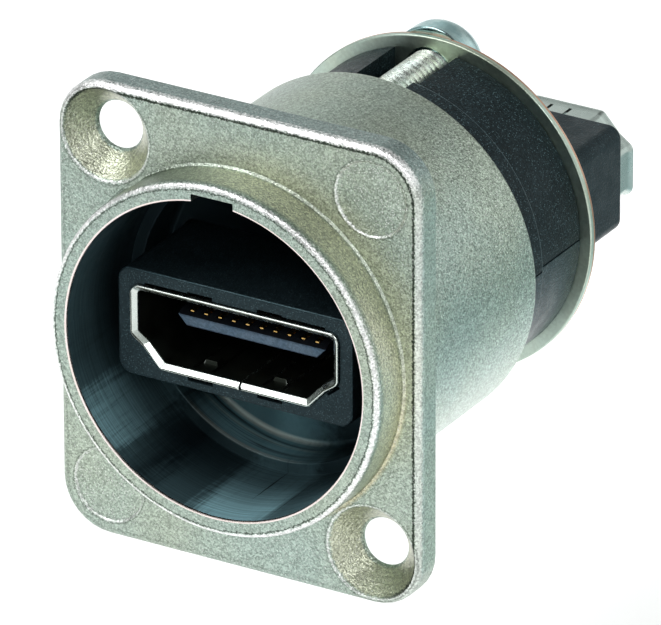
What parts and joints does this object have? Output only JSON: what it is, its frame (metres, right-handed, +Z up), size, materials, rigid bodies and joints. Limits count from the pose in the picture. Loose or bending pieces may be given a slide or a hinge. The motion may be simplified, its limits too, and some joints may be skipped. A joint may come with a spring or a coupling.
{
  "type": "digital video feed-through connector",
  "caption": "Panel-mount digital video feed-through: a round-barrelled metal flange housing clamps a moulded coupler with a flat receptacle at each end.",
  "frame": {"origin": "where the bore axis meets the rear face of the flange, the face that lies on the panel", "axes": "+Y along the bore axis, from the front towards the rear; +Z up; the front face looks along -Y"},
  "size_m": [0.026, 0.0396, 0.031],
  "materials": {
    "nickel_casting": "die-cast metal, blasted and nickel plated",
    "black_moulding": "fine-grained black moulding",
    "navy_moulding": "matt blue-black moulding",
    "contact_insulator": "matt dark moulding",
    "tinned_sheet": "tinned copper alloy sheet with bare copper-coloured sheared edges",
    "zinc_screw": "bright zinc plate",
    "plated_shell": "bright plated steel sheet",
    "gold_contact": "thin gold plate",
    "board_laminate": "glass-fibre laminate under green solder resist",
    "copper_land": "soldered copper"
  },
  "bodies": {
    "root": {"housing": "nickel_casting", "insert_upper": "black_moulding", "insert_lower": "black_moulding", "adapter_body": "navy_moulding", "ground_plate": "tinned_sheet", "clamp_screws": "zinc_screw", "front_shell": "plated_shell", "front_insulator": "contact_insulator", "front_contacts_wide": "gold_contact", "front_contacts_narrow": "gold_contact", "rear_shell": "plated_shell", "rear_insulator": "contact_insulator", "rear_contacts_wide": "gold_contact", "rear_contacts_narrow": "gold_contact", "circuit_board": "board_laminate", "front_board_pads": "copper_land", "rear_board_pads": "copper_land"}
  },
  "joints": []
}
